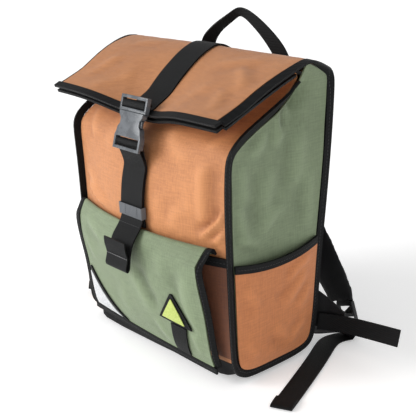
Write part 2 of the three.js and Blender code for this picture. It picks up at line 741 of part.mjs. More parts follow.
// The keeper is a band round both layers of the lower strap.
function strapKeeper() {
  const half = wideWebbing / 2 + gap + keeperWall;
  const depth = 2 * keeperWall + 2 * webbingThickness + 5 * gap;
  const outer = rectangle(-half, 0, half, depth);
  const inner = rectangle(-half + keeperWall, keeperWall, half - keeperWall, depth - keeperWall);
  const ring = plate(outer, [inner], -keeperHeight / 2, keeperHeight / 2);
  const seat = frontPoint(0, keeperMiddle);
  const foot = frontPoint(0, keeperMiddle - keeperHeight / 2);
  const head = frontPoint(0, keeperMiddle + keeperHeight / 2);
  const up = head.sub(foot).normalize();
  const out = point(1, 0, 0).cross(up).normalize();
  const middle = seat.addScaledVector(out, clothThickness / 2 + gap);
  return ring.applyMatrix4(new THREE.Matrix4().makeBasis(point(-1, 0, 0), out, up).setPosition(middle));
}

// The carrying handle stands up behind the crest. Columns: across (share of the half span), up (share of
// the rise), turn (degrees that the webbing is twisted towards the back), width (share of the webbing).
const handleTable = [
  [-1, -0.2, 0, 0.9], [-1, 0.08, 25, 0.85], [-0.92, 0.4, 50, 0.7], [-0.72, 0.66, 55, 0.55],
  [-0.4, 0.9, 45, 0.45], [-0.12, 1.09, 20, 0.42], [0.06, 1.07, 0, 0.42], [0.25, 0.95, 0, 0.5],
  [0.5, 0.74, 0, 0.6], [0.7, 0.53, 0, 0.7], [0.86, 0.32, 0, 0.8], [0.95, 0.1, 0, 0.85],
  [0.97, -0.2, 0, 0.9],
];
const handleBack = 1.06;
function carryHandle() {
  const last = handleTable.length - 1;
  const places = handleTable.map(([across, up]) => {
    const place = spot(0, handleBack, 1);
    return place.add(point(across * handleSpan / 2, 0, up * handleRise));
  });
  const path = new THREE.CatmullRomCurve3(places);
  const keys = handleTable.map((row, i) => [i / last, row[2], row[3]]);
  const at = (t, v) => {
    const tangent = path.getTangent(t);
    const flat = point(tangent.z, 0, -tangent.x).normalize();
    const turn = THREE.MathUtils.degToRad(lookUp(keys, t, 1));
    const across = flat.multiplyScalar(Math.cos(turn)).add(point(0, Math.sin(turn), 0));
    const width = narrowWebbing * lookUp(keys, t, 2);
    return path.getPoint(t).addScaledVector(across, mix(-width / 2, width / 2, v));
  };
  return wall(stations((t) => path.getPoint(t), 0, 1, 0.2, 14), [0, 1], at, 2 * webbingThickness);
}

// The shoulder pad bows out from the back. Columns: across, back and up as shares, width as a share.
const padTable = [
  [0.336, 1.0685, 0.949, 1], [0.347, 1.092, 0.919, 1], [0.372, 1.125, 0.867, 1], [0.42, 1.16, 0.787, 1],
  [0.475, 1.19, 0.667, 1], [0.522, 1.2, 0.547, 1], [0.57, 1.21, 0.435, 0.97], [0.655, 1.23, 0.351, 0.92],
  [0.775, 1.245, 0.278, 0.9], [0.85, 1.253, 0.222, 0.86], [0.915, 1.258, 0.175, 0.8],
  [0.955, 1.262, 0.13, 0.73],
];
function sideSpot(side, [across, back, up]) {
  return spot(side * across, back, up);
}
function shoulderPad(side) {
  const path = new THREE.CatmullRomCurve3(padTable.map((row) => sideSpot(side, row)));
  const last = padTable.length - 1;
  const widths = padTable.map((row, i) => [i / last, row[3]]);
  const at = (t, v) => {
    const tangent = path.getTangent(t);
    const across = point(-tangent.z, 0, tangent.x).normalize();
    const width = padWidth * lookUp(widths, t, 1);
    const place = path.getPoint(t).addScaledVector(across, mix(-width / 2, width / 2, v));
    return place;
  };
  const rounding = (t, v) => padThickness * mix(0.45, 1, 1 - Math.abs(2 * v - 1) ** 3);
  return wall(stations((t) => path.getPoint(t), 0, 1, 0.25, 32), [0, 0.1, 0.5, 0.9, 1], at, rounding);
}

// The ladder lock at the foot of the pad. Its own frame is x across, y up, z out, from its top edge.
const lockTop = [0.994, 1.275, 0.1305];
const lockFoot = [1.0845, 1.262, 0.0355];
const lockBar = 4;
function lockFrame(side) {
  const top = sideSpot(side, lockTop);
  const up = top.clone().sub(sideSpot(side, lockFoot)).normalize();
  const out = point(up.z, -0.14 * side, -up.x).cross(up).normalize();
  const across = up.clone().cross(out);
  return { across, turned: new THREE.Matrix4().makeBasis(across, up, out).setPosition(top) };
}
function ladderLock(side) {
  const half = lockWidth / 2;
  const slotWidth = narrowWebbing / 2 + 1;
  const middle = lockLength / 2;
  const slots = [
    rectangle(-slotWidth, -lockLength + lockBar, slotWidth, -middle - lockBar / 2),
    rectangle(-slotWidth, -middle + lockBar / 2, slotWidth, -lockBar),
  ];
  const frame = plate(rectangle(-half, -lockLength, half, 0), slots, -lockThickness / 2, lockThickness / 2);
  return frame.applyMatrix4(lockFrame(side).turned);
}

// The webbing comes from the lower corner of the back, turns round the lower bar of the lock and lies on
// the floor. Columns: across, back and up as shares, then the turn of its width in degrees.
const anchorTable = [
  [0.845, 0.865, 0.075, -10], [0.88, 0.92, 0.056, -10], [0.93, 1, 0.05, -10], [1, 1.1, 0.05, -8],
];
const floorTable = [[1.07, 1.2, 0.0105, 4], [1.02, 1.13, 0.0045, 14], [1.02, 1.04, 0.0036, 22],
  [1.146, 0.8, 0.0036, 30]];
const rightEnd = [[1.31, 0.46, 0.0036, 27], [1.495, 0.06, 0.0036, 25], [1.508, 0.037, 0.0062, 25],
  [1.497, 0.055, 0.0108, 25], [1.445, 0.16, 0.0108, 25]];
const leftEnd = [[1.28, 0.56, 0.0036, 30], [1.42, 0.35, 0.012, 34], [1.49, 0.24, 0.036, 36]];
// Columns: up from the middle of the bar, out of it.
const lockTurn = [[-7, -1.3], [-2, -1.02], [1.8, -1], [3.7, -0.8], [4.4, 0], [3.7, 0.8], [1.8, 1],
  [-2, 1.02], [-7, 1.2]];
function shoulderWebbing(side, end) {
  const lock = lockFrame(side);
  const bar = -lockLength + lockBar / 2;
  const clear = lockThickness / 2 + gap + webbingThickness / 2 + 0.2;
  const lying = (row) => {
    const turn = THREE.MathUtils.degToRad(row[3]);
    return { place: sideSpot(side, row), across: point(Math.cos(turn), side * Math.sin(turn), 0) };
  };
  const turning = ([up, out]) => ({
    place: point(0, bar + up, out * clear).applyMatrix4(lock.turned),
    across: lock.across,
  });
  const rows = [...anchorTable.map(lying), ...lockTurn.map(turning), ...[...floorTable, ...end].map(lying)];
  const path = new THREE.CatmullRomCurve3(rows.map(({ place }) => place));
  const across = (t) => {
    const row = Math.min(rows.length - 2, Math.floor(t * (rows.length - 1)));
    const share = t * (rows.length - 1) - row;
    return rows[row].across.clone().lerp(rows[row + 1].across, share).normalize();
  };
  const at = (t) => path.getPoint(t);
  const half = narrowWebbing / 2;
  return band(at, stations(at, 0, 1, 0.3, 26), across, -half, half, webbingThickness);
}

// The waist webbing stands on edge, sewn on a wedge of cloth that comes out of the lower corner.
// Columns: across, back and up as shares, then the half height as a share of the wedge's.
const wedgeTable = [
  [0.862, 0.911, 0.155, 1.45], [0.94, 0.958, 0.15, 1.34], [1.04, 1.025, 0.131, 1], [1.2, 1.058, 0.109, 0.64],
];
function waistWedge(side) {
  const path = new THREE.CatmullRomCurve3(wedgeTable.map((row) => sideSpot(side, row)));
  const heights = wedgeTable.map((row, i) => [i / (wedgeTable.length - 1), row[3] * wedgeHeight / 2]);
  const at = (t, v) => path.getPoint(t).add(point(0, 0, mix(-1, 1, v) * lookUp(heights, t, 1)));
  return wall(steps(6), [0, 1], at, 1.4 * clothThickness);
}
const waistTable = [[0.99, 0.95, 0.1], [1.05, 0.99, 0.101], [1.13, 1.015, 0.102], [1.25, 1.045, 0.106],
  [1.784, 1.06, 0.129]];
function waistWebbing(side) {
  const path = new THREE.CatmullRomCurve3(waistTable.map((row) => sideSpot(side, row)));
  const at = (t) => path.getPoint(t);
  const across = () => point(side * 0.1, 0.12, 0.98);
  return band(at, stations(at, 0, 1, 0.25, 36), across, -waistWidth / 2, waistWidth / 2, webbingThickness);
}

add('front_panel', frontPanel(), materials.tan);
add('top_flap', topFlap(), materials.tan);
add('back_panel', backPanel(), materials.black);
add('base_panel', basePanel(), materials.black);
for (const [word, side] of [['right', 1], ['left', -1]]) {
  add(`${word}_gusset`, gusset(side), materials.olive);
  add(`${word}_side_pocket`, sidePocket(side), materials.tan);
  add(`${word}_side_pocket_binding`, sidePocketHem(side), materials.black);
  const outerTape = tape(side, rimAt('fold tip') + 6, rimAt('upper mouth') - panelInset - gap);
  add(`${word}_side_binding`, outerTape, materials.black);
  const innerTape = tape(side, rimAt('lower mouth') + panelInset + gap, rimAt('fold upper') - 6);
  add(`${word}_inner_binding`, innerTape, materials.black);
}
add('upper_mouth_binding', mouthBinding(rimAt('upper mouth') - panelInset, 1), materials.black);
add('lower_mouth_binding', mouthBinding(rimAt('lower mouth') + panelInset, -1), materials.black);

add('front_pocket', frontPocket(), materials.tan);
add('front_pocket_band', frontPocketBand(), materials.black);
add('pocket_flap', pocketFlap(), materials.olive);
add('pocket_flap_left_binding', flapSideBinding(0, 0, 0.03), materials.black);
add('pocket_flap_right_binding', flapSideBinding(1, 42, 0.03), materials.black);
add('pocket_flap_bottom_binding', flapFootBinding(), materials.black);

// The reflective corner, its diagonal binding, and the hi-vis triangle on its strip of webbing
const flatLift = clothThickness / 2 + 2.2 * gap + patchThickness / 2;
const fromFlapFoot = ([across, up]) => flapPlace(across, up);
const cornerPatch = [[0.018, 0.01], [0.26, 0.01], [0.027, 0.345], [0.014, 0.345]].map(fromFlapFoot);
add('reflective_corner', onFlapPatch(cornerPatch, flatLift, patchThickness, 4, 6), materials.white);
const diagonal = [[0.292, 0.01], [0.323, 0.01], [0.036, 0.41], [0.012, 0.39]].map(fromFlapFoot);
add('corner_binding', onFlapPatch(diagonal, flatLift + 0.2, patchThickness + 0.4, 1, 8), materials.black);
const strip = [[0.747, 0.01], [0.848, 0.01], [0.878, 0.29], [0.776, 0.3]].map(fromFlapFoot);
add('patch_webbing', onFlapPatch(strip, flatLift + 0.2, patchThickness + 0.4, 2, 4), materials.black);
const border = [[0.7, 0.325], [0.918, 0.297], [0.826, 0.583], [0.812, 0.583]].map(fromFlapFoot);
add('triangle_border', onFlapPatch(border, flatLift + 0.3, patchThickness + 0.6, 5, 5), materials.black);
const centre = [[0.731, 0.347], [0.88, 0.324], [0.822, 0.54], [0.816, 0.54]].map(fromFlapFoot);
add('hi_vis_triangle', onFlapPatch(centre, flatLift + 2.1, patchThickness, 4, 4), materials.yellow);

add('top_strap', topStrap(), materials.black);
add('buckle_plug', bucklePlug(), materials.plastic).applyMatrix4(bucklePlace);
add('buckle_socket', buckleSocket(), materials.plastic).applyMatrix4(bucklePlace);
add('lower_strap', lowerStrap(), materials.black);
add('strap_keeper', strapKeeper(), materials.grey);
add('carry_handle', carryHandle(), materials.black);
for (const [word, side, end] of [['right', 1, rightEnd], ['left', -1, leftEnd]]) {
  add(`${word}_shoulder_pad`, shoulderPad(side), materials.black);
  add(`${word}_ladder_lock`, ladderLock(side), materials.plastic);
  add(`${word}_shoulder_webbing`, shoulderWebbing(side, end), materials.black);
  add(`${word}_waist_wedge`, waistWedge(side), materials.black);
  add(`${word}_waist_webbing`, waistWebbing(side), materials.black);
}

export default bag;
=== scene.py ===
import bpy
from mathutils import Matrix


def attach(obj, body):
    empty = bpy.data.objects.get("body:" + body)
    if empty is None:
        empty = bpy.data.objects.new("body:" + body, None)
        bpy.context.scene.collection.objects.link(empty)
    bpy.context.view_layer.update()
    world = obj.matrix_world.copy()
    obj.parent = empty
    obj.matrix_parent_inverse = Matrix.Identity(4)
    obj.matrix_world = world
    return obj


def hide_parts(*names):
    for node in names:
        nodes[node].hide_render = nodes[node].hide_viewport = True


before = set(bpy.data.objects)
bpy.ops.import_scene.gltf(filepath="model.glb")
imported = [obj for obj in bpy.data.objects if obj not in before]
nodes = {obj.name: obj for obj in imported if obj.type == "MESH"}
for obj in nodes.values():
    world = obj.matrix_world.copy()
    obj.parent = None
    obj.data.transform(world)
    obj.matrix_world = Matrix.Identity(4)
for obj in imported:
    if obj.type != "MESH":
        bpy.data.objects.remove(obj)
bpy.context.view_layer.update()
print("CAD pieces:", len(nodes))

# %% [markdown]
# Blender works in metres, and this bag was measured in millimetres, so MM turns one into the other.
# %% Modules and units
import collections
import math

import bmesh
import bpy
from mathutils import Matrix, Vector, noise
from mathutils.bvhtree import BVHTree

MM = 0.001


def only(piece):
    """Leaves one piece selected, because an operator acts on all that is selected."""
    bpy.ops.object.select_all(action="DESELECT")
    piece.select_set(True)
    bpy.context.view_layer.objects.active = piece


# %% [markdown]
# ## The camera
# The photograph looks at the front right corner of the bag from a little above. A long lens from over a
# metre away gives its weak perspective, and the camera is tipped by two degrees as the photographer's was.
# %% Camera at the photograph's place
CAMERA_AWAY = 1.1332
aim = Vector((2.5, 12.9, 162.0)) * MM
azimuth, elevation, roll = (math.radians(angle) for angle in (49.6, 19.1, -2.4))
back_axis = Vector((math.sin(azimuth) * math.cos(elevation), -math.cos(azimuth) * math.cos(elevation),
                    math.sin(elevation)))
level = (-back_axis).cross(Vector((0, 0, 1))).normalized()
upright = level.cross(-back_axis)
right_axis = level * math.cos(roll) + upright * math.sin(roll)
up_axis = upright * math.cos(roll) - level * math.sin(roll)
bpy.ops.object.camera_add()
camera = bpy.context.object
camera.matrix_world = Matrix.Translation(aim + back_axis * CAMERA_AWAY) @ Matrix(
    (right_axis, up_axis, back_axis)).transposed().to_4x4()
camera.data.lens = 79.2
camera.data.sensor_width = 36
camera.data.clip_start = 0.05
bpy.context.scene.camera = camera
print("camera at", [round(value, 3) for value in camera.location])

# %% [markdown]
# ## Floor and light
# The bag was photographed on white paper under soft light from its front left. A large pale sheet is the
# paper, flat under the bag and curved up far away as a studio sweep is, so that no view shows where it ends.
# It also throws light up under the flap. The sun lamp is given a wide angle, as a softbox has, so that its
# shadows have no hard edge.
# %% Floor, lamps and sky
SWEEP_FLAT, SWEEP_RISE = 12, 0.02
bpy.ops.object.select_all(action="DESELECT")
bpy.ops.mesh.primitive_grid_add(x_subdivisions=60, y_subdivisions=60, size=60, location=(0, 0, -0.0004))
floor = bpy.context.object
floor.name = "paper_floor"
bpy.ops.object.transform_apply(location=True, rotation=False, scale=False)
for vertex in floor.data.vertices:
    away = max(abs(vertex.co.x), abs(vertex.co.y))
    vertex.co.z += SWEEP_RISE * max(0, away - SWEEP_FLAT) ** 2
bpy.ops.object.shade_smooth()
bpy.ops.object.light_add(type="SUN", rotation=(math.radians(67), 0, math.radians(-26)))
softbox = bpy.context.object
softbox.name = "softbox"
softbox.data.energy = 1.95
softbox.data.angle = math.radians(40)
bpy.ops.object.light_add(type="AREA", location=(-0.9, -1.5, 0.9))
strip = bpy.context.object
strip.name = "strip_light"
strip.rotation_euler = (Vector((0, -0.08, 0.2)) - strip.location).to_track_quat("-Z", "Y").to_euler()
strip.data.shape = "RECTANGLE"
strip.data.size = 0.5
strip.data.size_y = 1.2
strip.data.energy = 9
world = bpy.data.worlds.new("studio")
world.use_nodes = True
world.node_tree.nodes["Background"].inputs["Color"].default_value = (1, 1, 1, 1)
world.node_tree.nodes["Background"].inputs["Strength"].default_value = 0.555
bpy.context.scene.world = world
bpy.context.scene.view_settings.view_transform = "Standard"

# %% [markdown]
# ## Shader maths in plain expressions
# A cloth is drawn by sums of waves and noises. Written as node links they are hard to read, so one small
# class wraps a socket and adds a Math node for each plus, minus or times. Another starts a material and
# adds every other node from one method.
# %% The two helper classes


class Value:
    """One number that varies over a surface: an output socket that can be added, multiplied and so on."""

    def __init__(self, finish, socket):
        self.finish = finish
        self.socket = socket

    def math(self, operation, *others, clamp=False):
        return self.finish.node("ShaderNodeMath", {"operation": operation, "use_clamp": clamp},
                                dict(enumerate((self, *others))))

    def __add__(self, other):
        return self.math("ADD", other)

    def __mul__(self, other):
        return self.math("MULTIPLY", other)

    def __sub__(self, other):
        return self.math("SUBTRACT", other)

    def __rsub__(self, other):
        return self.math("MULTIPLY_ADD", -1.0, other)

    __radd__ = __add__
    __rmul__ = __mul__

    def wave(self, pitch):
        """A smooth wave of that pitch in metres, from -1 to 1."""
        return (self * (math.tau / pitch)).math("SINE")

    def line(self, pitch, width):
        """Thin lines, 1 on a line and 0 between, for a sewn or woven grid."""
        near = (self * (1 / pitch)).math("FRACT") - 0.5
        far = (near.math("ABSOLUTE") * (pitch / width)).math("SUBTRACT", 1.0)
        return far.math("MULTIPLY", -1.0, clamp=True)


class Finish:
    """A new material with its Principled shader, its Object coordinates and one way to add nodes."""

    def __init__(self, name, **steady):
        self.material = bpy.data.materials.new(name)
        self.material.use_nodes = True
        self.tree = self.material.node_tree
        self.shader = self.tree.nodes["Principled BSDF"]
        for socket, value in steady.items():
            self.shader.inputs[socket.replace("_", " ")].default_value = value
        self.place = self.node("ShaderNodeTexCoord", out="Object")
        split = self.node("ShaderNodeSeparateXYZ", {}, {0: self.place})
        outputs = split.socket.node.outputs
        self.x, self.y, self.z = (Value(self, outputs[i]) for i in range(3))

    def node(self, kind, settings=None, inputs=None, out=0):
        made = self.tree.nodes.new(kind)
        for name, value in (settings or {}).items():
            if name == "stops":
                ramp = made.color_ramp.elements
                while len(ramp) < len(value):
                    ramp.new(0.5)
                for stop, (position, colour) in zip(ramp, value):
                    stop.position = position
                    stop.color = (*colour, 1)
            else:
                setattr(made, name, value)
        for name, value in (inputs or {}).items():
            if isinstance(value, Value):
                self.tree.links.new(value.socket, made.inputs[name])
            else:
                made.inputs[name].default_value = value
        return Value(self, made.outputs[out])

    def speckle(self, scale, stretch=(1, 1, 1), detail=2.0):
        """Noise from 0 to 1, drawn out along an axis where its stretch is under 1."""
        drawn = self.node("ShaderNodeMapping", {}, {"Vector": self.place, "Scale": stretch})
        return self.node("ShaderNodeTexNoise", {}, {"Vector": drawn, "Scale": scale, "Detail": detail})

    def tints(self, amount, *stops):
        """A colour ramp: stops are (position, (r, g, b))."""
        return self.node("ShaderNodeValToRGB", {"stops": stops}, {"Fac": amount})

    def shaded(self, colour, other, amount):
        """The first colour, turned towards the other by amount."""
        return self.node("ShaderNodeMix", {"data_type": "RGBA"}, {0: amount, 6: colour, 7: other}, out=2)

    def relief(self, height, distance, strength=1.0, under=None):
        """Feeds a height, of which 1 is that many metres, to the Normal of the shader."""
        inputs = {"Height": height, "Distance": distance, "Strength": strength}
        if under:
            inputs["Normal"] = under
        bumped = self.node("ShaderNodeBump", {}, inputs)
        self.paint("Normal", bumped)
        return bumped

    def paint(self, socket, value):
        self.tree.links.new(value.socket, self.shader.inputs[socket])


# %% [markdown]
# ## Canvas
# The body is a stiff nylon canvas: fine threads both ways, flecks where a thread is thicker, and a faint
# grid of stronger threads every few millimetres. Its crumpled places are painted a little lighter on the
# ridges, a painted highlight, and darker in the valleys, a painted shade. The weave is drawn from the place
# on the bag, so it needs no unwrapping, and each canvas is told which two directions its threads run in.
# %% Canvas materials
THREAD, GRID_PITCH, GRID_LINE = 0.00104, 0.0034, 0.0005


def canvas(name, deep, light, across, along, grid=0.1, sheen=0.16, gloss=0.55):
    """Canvas whose threads follow two directions, each a function of the finish that gives a length."""
    cloth = Finish(name, Sheen_Weight=sheen, Sheen_Roughness=0.4, Specular_IOR_Level=gloss)
    u, v = across(cloth), along(cloth)
    flecks = cloth.speckle(620, (1, 1, 0.12)) + cloth.speckle(620, (0.12, 0.12, 1))
    clouds = cloth.speckle(11, detail=3.0)
    folds = Value(cloth, cloth.node("ShaderNodeAttribute", {"attribute_name": "fold"}, out="Fac").socket)
    # painted highlight and painted shade: the fold heights make the ridges lighter and the valleys darker
    tone = flecks * 0.6 + clouds * 0.25 + folds * 0.12 - 0.275
    lines = u.line(GRID_PITCH, GRID_LINE).math("MAXIMUM", v.line(GRID_PITCH, GRID_LINE))
    colour = cloth.tints(tone, (0.1, deep), (0.75, light))
    # one darker tint, for the grid's own stronger threads and for painted shade in the fold valleys
    grid_and_crease_shade = tuple(0.55 * part for part in deep)
    shade = (lines * grid).math("MAXIMUM", folds.math("MULTIPLY_ADD", -0.07, -0.06, clamp=True))
    cloth.paint("Base Color", cloth.shaded(colour, (*grid_and_crease_shade, 1), shade))
    cloth.paint("Roughness", flecks * 0.14 + 0.5)
    weave = u.wave(THREAD) * v.wave(THREAD)
    under = cloth.relief(cloth.speckle(60, detail=4.0), 0.0007, 0.35)
    cloth.relief(weave * 0.45 + flecks * 0.5 + lines * 0.5, 0.00022, 0.6, under)
    return cloth.material


TAN = ((0.39, 0.143, 0.046), (0.6, 0.25, 0.093))
# painted shade: the top's tan is the front's cloth made darker, for how the light falls on the top
TOP_SHADE_TAN = ((0.34, 0.128, 0.042), (0.52, 0.219, 0.081))
# painted shade: the side's tan is the front's cloth made more saturated, standing for the shaded side
SHADY_TAN = ((0.42, 0.134, 0.038), (0.64, 0.23, 0.077))
OLIVE = ((0.121, 0.158, 0.085), (0.217, 0.276, 0.16))
tan_front = canvas("tan_canvas_front", *TAN, lambda f: f.x, lambda f: f.z)
tan_top = canvas("tan_canvas_top", *TOP_SHADE_TAN, lambda f: f.x, lambda f: f.y + f.z)
tan_side = canvas("tan_canvas_side", *SHADY_TAN, lambda f: f.y, lambda f: f.z)
# painted shade: the front pocket's tan darkened to a dark brown, for the shade under the flap
shaded_pocket_canvas = canvas("pocket_canvas_painted_shade", (0.085, 0.024, 0.008), (0.18, 0.055, 0.02), lambda f: f.x,
                      lambda f: f.z)
olive_side = canvas("olive_canvas_side", *OLIVE, lambda f: f.y, lambda f: f.z, 0.16)
olive_flap = canvas("olive_canvas_flap", *OLIVE, lambda f: f.x, lambda f: f.z, 0.16)
black_cloth = canvas("black_cordura", (0.0045, 0.0045, 0.005), (0.013, 0.013, 0.0145),
                     lambda f: f.x + f.y, lambda f: f.z, 0.1, 0.02, 0.2)

# %% [markdown]
# ## Webbing and binding tape
# Webbing is woven with fat lengthwise cords and a fine rib across them. Binding tape is thinner, with a
# slanting rib, and it is folded over the raw edge of the cloth. Both are near black with a satin sheen, and
# their raised threads are drawn lighter as a painted highlight. Edges fray a little, which shows as lighter
# flecks.
# %% Webbing and tape materials


BLACK = ((0.0015, 0.0016, 0.0018), (0.009, 0.0095, 0.0105))


def webbing_finish(name, across, along, cord=0.0019, rib=0.0013, colours=BLACK):
    web = Finish(name, Sheen_Weight=0.02, Sheen_Roughness=0.35, Specular_IOR_Level=0.16)
    u, v = across(web), along(web)
    cords = u.wave(cord)
    ribs = (v + cords * (0.18 * rib)).wave(rib)
    fluff = web.speckle(900, detail=3.0)
    patches = web.speckle(34, detail=2.0)
    height = cords * 0.35 + ribs * 0.3 + fluff * 0.5
    # painted highlight: the raised cords and ribs are drawn lighter, together with the fray flecks and random
    # patches
    tone = height * 0.35 + patches * 0.3 + 0.12
    web.paint("Base Color", web.tints(tone, (0.1, colours[0]), (0.8, colours[1])))
    web.paint("Roughness", fluff * 0.2 + 0.5)
    web.relief(height, 0.00028, 0.7)
    return web.material


web_length = webbing_finish("webbing_down", lambda f: f.x, lambda f: f.y + f.z)
web_side = webbing_finish("webbing_sideways", lambda f: f.y + f.z * 0.6, lambda f: f.x)
tape = webbing_finish("binding_tape", lambda f: f.x - f.y + f.z, lambda f: f.x + f.y + f.z, 0.0042, 0.0011)

# %% [markdown]
# ## Plastic, reflective cloth and the bright triangle
# The buckle is moulded acetal with a fine spark texture, dull where fingers rub it. The keeper is a lighter
# grey elastic. The corner is a silver cloth with glass beads in small cells, and the triangle is a
# fluorescent vinyl over the same cells, with a faint painted glow. The triangle is left plain.
# %% Hard and bright materials


def moulded(name, deep, light, roughness):
    plastic = Finish(name, Specular_IOR_Level=0.5)
    spark = plastic.speckle(1500, detail=3.0)
    rubbed = plastic.speckle(85, detail=4.0)
    plastic.paint("Base Color", plastic.tints(rubbed, (0.35, deep), (0.7, light)))
    plastic.paint("Roughness", rubbed * 0.22 + spark * 0.08 + roughness)
    plastic.relief(spark, 0.00006, 0.5)
    return plastic.material


def beaded(name, deep, light, metallic, painted_glow=0.0):
    bright = Finish(name, Metallic=metallic, Emission_Color=(*light, 1), Emission_Strength=painted_glow)
    cells = bright.node("ShaderNodeTexVoronoi", {"feature": "DISTANCE_TO_EDGE"},
                        {"Vector": bright.place, "Scale": 420.0})
    scuffs = bright.speckle(130, detail=4.0)
    bright.paint("Base Color", bright.tints(cells * 1.6 + scuffs * 0.5, (0.2, deep), (0.6, light)))
    bright.paint("Roughness", scuffs * 0.3 + 0.28)
    bright.relief(cells.math("MINIMUM", 0.25), 0.0003, 0.4)
    return bright.material


buckle_plastic = moulded("grey_acetal", (0.062, 0.069, 0.078), (0.112, 0.122, 0.135), 0.13)
lock_plastic = moulded("black_acetal", (0.006, 0.0065, 0.0075), (0.016, 0.017, 0.019), 0.28)
keeper_elastic = webbing_finish("keeper_elastic", lambda f: f.x, lambda f: f.z, 0.0026, 0.001,
                                ((0.07, 0.075, 0.082), (0.2, 0.21, 0.225)))
silver_cloth = beaded("silver_beads", (0.42, 0.43, 0.45), (0.68, 0.69, 0.7), 0.1)
# the bright vinyl has a faint painted glow, standing for its fluorescence
bright_vinyl = beaded("bright_vinyl", (0.34, 0.43, 0.07), (0.5, 0.58, 0.16), 0.0, 0.04)
thread_black = moulded("black_thread", (0.012, 0.012, 0.013), (0.03, 0.03, 0.032), 0.4)
thread_grey = moulded("grey_thread", (0.16, 0.16, 0.165), (0.3, 0.3, 0.31), 0.4)
paper = Finish("floor_paper", Specular_IOR_Level=0.1, Emission_Color=(1, 1, 1, 1), Emission_Strength=0.34)
paper_tone = paper.speckle(3, detail=3.0)
paper.paint("Base Color", paper.tints(paper_tone, (0.3, (0.9, 0.9, 0.9)), (0.7, (0.93, 0.93, 0.93))))
paper.paint("Roughness", paper.speckle(40) * 0.1 + 0.85)
floor.data.materials.append(paper.material)
print("materials:", len(bpy.data.materials))

# %% [markdown]
# ## From a CAD solid to cloth
# A CAD node is made of loose triangles. A copy has its doubles merged and its triangles joined into quads,
# its sharp edges are creased, and one level of subdivision rounds its facets. Then its long edges are
# split, so that there are enough points to press folds into.
# %% The cutting helper


def cut(name, node, longest=6.0, sharp=40, rounds=1):
    """A new piece from a CAD node's copy: merged, rounded, and split until no edge is over longest mm."""
    piece = bpy.data.objects.new(name, nodes[node].data.copy())
    bpy.context.scene.collection.objects.link(piece)
    piece.data.materials.clear()
    only(piece)
    bpy.ops.object.mode_set(mode="EDIT")
    bpy.ops.mesh.select_all(action="SELECT")
    bpy.ops.mesh.remove_doubles(threshold=0.00002)
    bpy.ops.mesh.tris_convert_to_quads(face_threshold=math.radians(20), shape_threshold=math.radians(60))
    bpy.ops.object.mode_set(mode="OBJECT")
    if piece.data.has_custom_normals:
        bpy.ops.mesh.customdata_custom_splitnormals_clear()
    mesh = bmesh.new()
    mesh.from_mesh(piece.data)
    if rounds:
        creases = mesh.edges.layers.float.new("crease_edge")
        for edge in mesh.edges:
            if len(edge.link_faces) == 2 and edge.calc_face_angle(0) > math.radians(sharp):
                edge[creases] = 1.0
        mesh.to_mesh(piece.data)
        add_modifier(piece, "SUBSURF", levels=rounds, render_levels=rounds)
        mesh.clear()
        mesh.from_mesh(piece.data)
    for _ in range(5):
        long_edges = [edge for edge in mesh.edges if edge.calc_length() > longest * MM]
        if not long_edges:
            break
        bmesh.ops.subdivide_edges(mesh, edges=long_edges, cuts=1, use_grid_fill=True)
        bmesh.ops.triangulate(mesh, faces=[face for face in mesh.faces if len(face.verts) > 4])
    mesh.to_mesh(piece.data)
    mesh.free()
    return piece


def add_modifier(piece, kind, **settings):
    """Adds a modifier to a piece and applies it."""
    only(piece)
    made = piece.modifiers.new(kind.lower(), kind)
    for name, value in settings.items():
        setattr(made, name, value)
    bpy.ops.object.modifier_apply(modifier=made.name)


# %% [markdown]
# ## Folds
# Real cloth creases where it is pulled: round a corner, under a strap, beside a seam. Each fold is one row
# of a table, a line on the panel with a height and a width, and its ridge has a valley beside it. Fine
# noise is added for the crumple of handled canvas. Near another piece the movement fades out, so nothing
# pokes through its neighbour.
# %% The folding helpers
Fold = collections.namedtuple("Fold", "from_across from_up to_across to_up height width bow")


def smooth(share):
    share = min(1, max(0, share))
    return share * share * (3 - 2 * share)


def fold_height(folds, across, up):
    """The height in mm of all folds at a place on the panel in mm."""
    total = 0.0
    for fold in folds:
        run_across, run_up = fold.to_across - fold.from_across, fold.to_up - fold.from_up
        length = math.hypot(run_across, run_up)
        along = ((across - fold.from_across) * run_across + (up - fold.from_up) * run_up) / length ** 2
        if not -0.02 < along < 1.02:
            continue
        side = ((across - fold.from_across) * run_up - (up - fold.from_up) * run_across) / length
        side -= fold.bow * 4 * along * (1 - along)
        fade = smooth(along / 0.3) * smooth((1 - along) / 0.3)
        ridge = math.exp(-(side / fold.width) ** 2)
        valley = math.exp(-((side - 1.7 * fold.width) / (1.2 * fold.width)) ** 2)
        total += fold.height * fade * (ridge - 0.55 * valley)
    return total


def crumple(place, size):
    """Seedless noise, the same in each run, in mm: broad swells and a finer crumple."""
    broad = noise.noise(place / (62 * size)) * 0.9
    fine = noise.noise(place / (19 * size) + Vector((7.3, 1.9, 4.1))) * 0.32
    return broad + fine


def neighbours(*own):
    """A search tree of all CAD nodes but a piece's own."""
    points, faces = [], []
    for name, node in nodes.items():
        if name not in own:
            start = len(points)
            points.extend(vertex.co for vertex in node.data.vertices)
            faces.extend([start + i for i in face.vertices] for face in node.data.polygons)
    return BVHTree.FromPolygons(points, faces)


